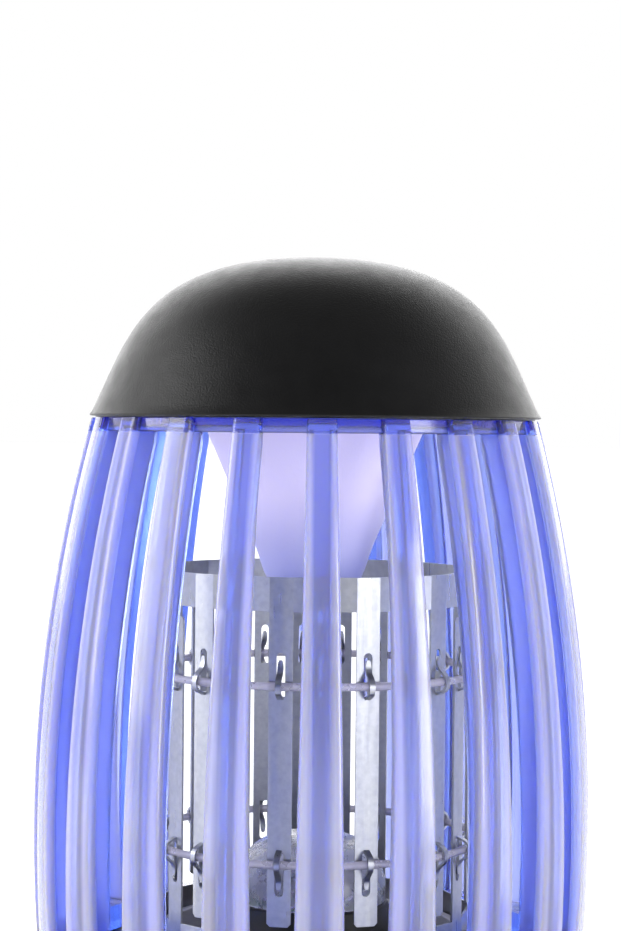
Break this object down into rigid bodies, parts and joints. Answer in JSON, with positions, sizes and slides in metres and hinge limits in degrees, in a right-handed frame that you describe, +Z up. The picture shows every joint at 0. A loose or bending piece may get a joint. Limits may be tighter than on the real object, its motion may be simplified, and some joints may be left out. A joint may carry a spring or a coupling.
{
  "type": "electric bug zapper",
  "caption": "Barrel-shaped electric insect killer: domed cap, ribbed translucent guard, steel shock grid, light, white reflector and a base with a pull-out tray.",
  "frame": {"origin": "centre of the bounding box's bottom face, which is on the table under the middle of the round base", "axes": "+Z up along the barrel's axis; the front, where the tray pulls out, is -Y; the switch is on +X and the power socket on +Y"},
  "size_m": [0.1298, 0.1298, 0.21],
  "materials": {
    "black_cap": "fine-grained matt moulded plastic",
    "blue_guard": "translucent blue-violet moulded plastic, glossy",
    "white_reflector": "matt white moulded plastic",
    "grid_steel": "bright rolled sheet",
    "insulator_nylon": "clear grey nylon",
    "white_insulator": "satin moulded plastic",
    "black_base": "fine-grained matt moulded plastic",
    "clear_lens": "frosted clear plastic",
    "clear_led": "clear epoxy with a violet tint",
    "board_green": "green solder mask",
    "dark_ferrite": "dark ferrite",
    "brown_film": "dipped coating",
    "dark_epoxy": "moulded epoxy",
    "red_sleeve": "insulating sleeve",
    "black_sleeve": "insulating sleeve",
    "screw_steel": "zinc-plated",
    "black_rubber": "matt rubber"
  },
  "bodies": {
    "lamp": {"top_cap": "black_cap", "reflector": "white_reflector", "guard": "blue_guard", "upper_electrode": "grid_steel", "lower_electrode": "grid_steel", "insulator_loop_upper": "insulator_nylon", "insulator_loop_lower": "insulator_nylon", "grid_carrier": "white_insulator", "base_deck": "black_base", "led_pod": "black_base", "led_board": "board_green", "led_lens": "clear_lens", "uv_led_1": "clear_led", "uv_led_2": "clear_led", "uv_led_3": "clear_led", "uv_led_4": "clear_led", "uv_led_5": "clear_led", "uv_led_6": "clear_led", "base_housing": "black_base", "bottom_plate": "black_base", "circuit_board": "board_green", "transformer": "dark_ferrite", "film_capacitor_1": "brown_film", "film_capacitor_2": "brown_film", "film_capacitor_3": "brown_film", "bleed_resistor": "brown_film", "rectifier_diode_1": "dark_epoxy", "rectifier_diode_2": "dark_epoxy", "power_socket": "black_base", "switch_body": "black_base", "upper_electrode_lead": "red_sleeve", "lower_electrode_lead": "black_sleeve", "light_lead": "black_sleeve", "power_lead": "black_sleeve", "switch_lead": "black_sleeve", "cap_screw_1": "screw_steel", "cap_screw_2": "screw_steel", "cap_screw_3": "screw_steel", "cap_screw_4": "screw_steel", "reflector_screw_1": "screw_steel", "reflector_screw_2": "screw_steel", "reflector_screw_3": "screw_steel", "guard_screw_1": "screw_steel", "guard_screw_2": "screw_steel", "guard_screw_3": "screw_steel", "guard_screw_4": "screw_steel", "bottom_screw_1": "screw_steel", "bottom_screw_2": "screw_steel", "bottom_screw_3": "screw_steel", "bottom_screw_4": "screw_steel", "board_screw_1": "screw_steel", "board_screw_2": "screw_steel", "rubber_foot_1": "black_rubber", "rubber_foot_2": "black_rubber", "rubber_foot_3": "black_rubber", "rubber_foot_4": "black_rubber"},
    "tray": {"insect_tray": "black_base"},
    "rocker": {"switch_rocker": "black_base"}
  },
  "joints": [
    {"name": "tray_slide", "type": "slide", "parent": "lamp", "child": "tray", "axis": [0, -1, 0], "range_m": [0, 0.055]},
    {"name": "switch_rock", "type": "hinge", "parent": "lamp", "child": "rocker", "pos_m": [0.0564, 0, 0.0146], "axis": [0, 0, 1], "range_deg": [0, 16]}
  ]
}
